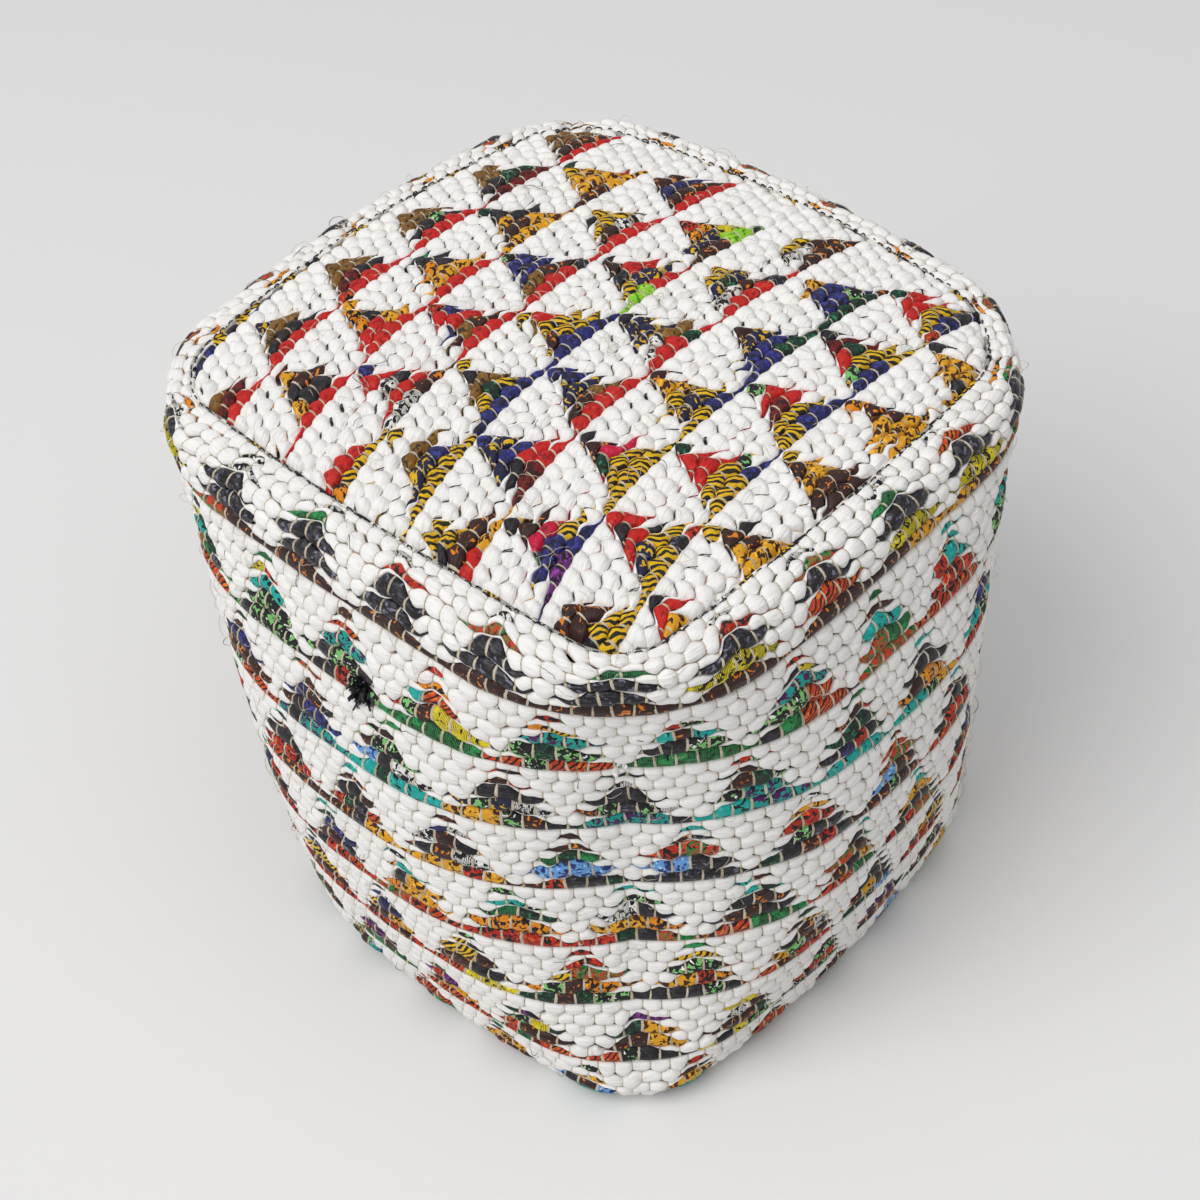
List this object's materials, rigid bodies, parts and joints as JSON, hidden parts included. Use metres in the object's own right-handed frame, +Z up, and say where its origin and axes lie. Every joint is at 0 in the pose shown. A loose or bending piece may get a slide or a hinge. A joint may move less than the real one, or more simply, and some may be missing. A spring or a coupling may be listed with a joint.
{
  "type": "beanbag footstool",
  "caption": "Soft cube footstool in a rag-woven cover with a crowned top and bowed sides, filled with beads, with a zip in its canvas base.",
  "frame": {"origin": "middle of the base on the floor", "axes": "+Z up, +X and +Y along the sides of the square; the near corner of the picture points to +X and -Y"},
  "size_m": [0.4536, 0.4466, 0.4103],
  "materials": {
    "woven_rag": "matte",
    "canvas": "matte",
    "dark_thread": "matte",
    "thread": "matte",
    "tape": "matte",
    "teeth": "satin",
    "zip_metal": "plated",
    "liner": "matte",
    "beads": "matte"
  },
  "bodies": {
    "pouf": {"top_panel": "woven_rag", "side_band": "woven_rag", "base_canvas_front": "canvas", "base_canvas_back": "canvas", "top_seam_thread": "dark_thread", "side_seam_thread": "thread", "base_seam_thread": "thread", "zip_tape_front": "tape", "zip_tape_back": "tape", "zip_teeth_front": "teeth", "zip_teeth_back": "teeth", "zip_thread_front": "thread", "zip_thread_back": "thread", "zip_top_stop_front": "zip_metal", "zip_top_stop_back": "zip_metal", "zip_bottom_stop": "zip_metal", "liner_top": "liner", "liner_side": "liner", "liner_base": "liner", "bead_fill": "beads"},
    "slider": {"zip_slider": "zip_metal"},
    "pull": {"zip_pull": "zip_metal"}
  },
  "joints": [
    {"name": "zip_slide", "type": "slide", "parent": "pouf", "child": "slider", "axis": [1, 0, 0], "range_m": [0, 0.245]},
    {"name": "pull_hinge", "type": "hinge", "parent": "slider", "child": "pull", "pos_m": [-0.1225, 0, 0.0048], "axis": [0, 1, 0], "range_deg": [0, 160]}
  ]
}
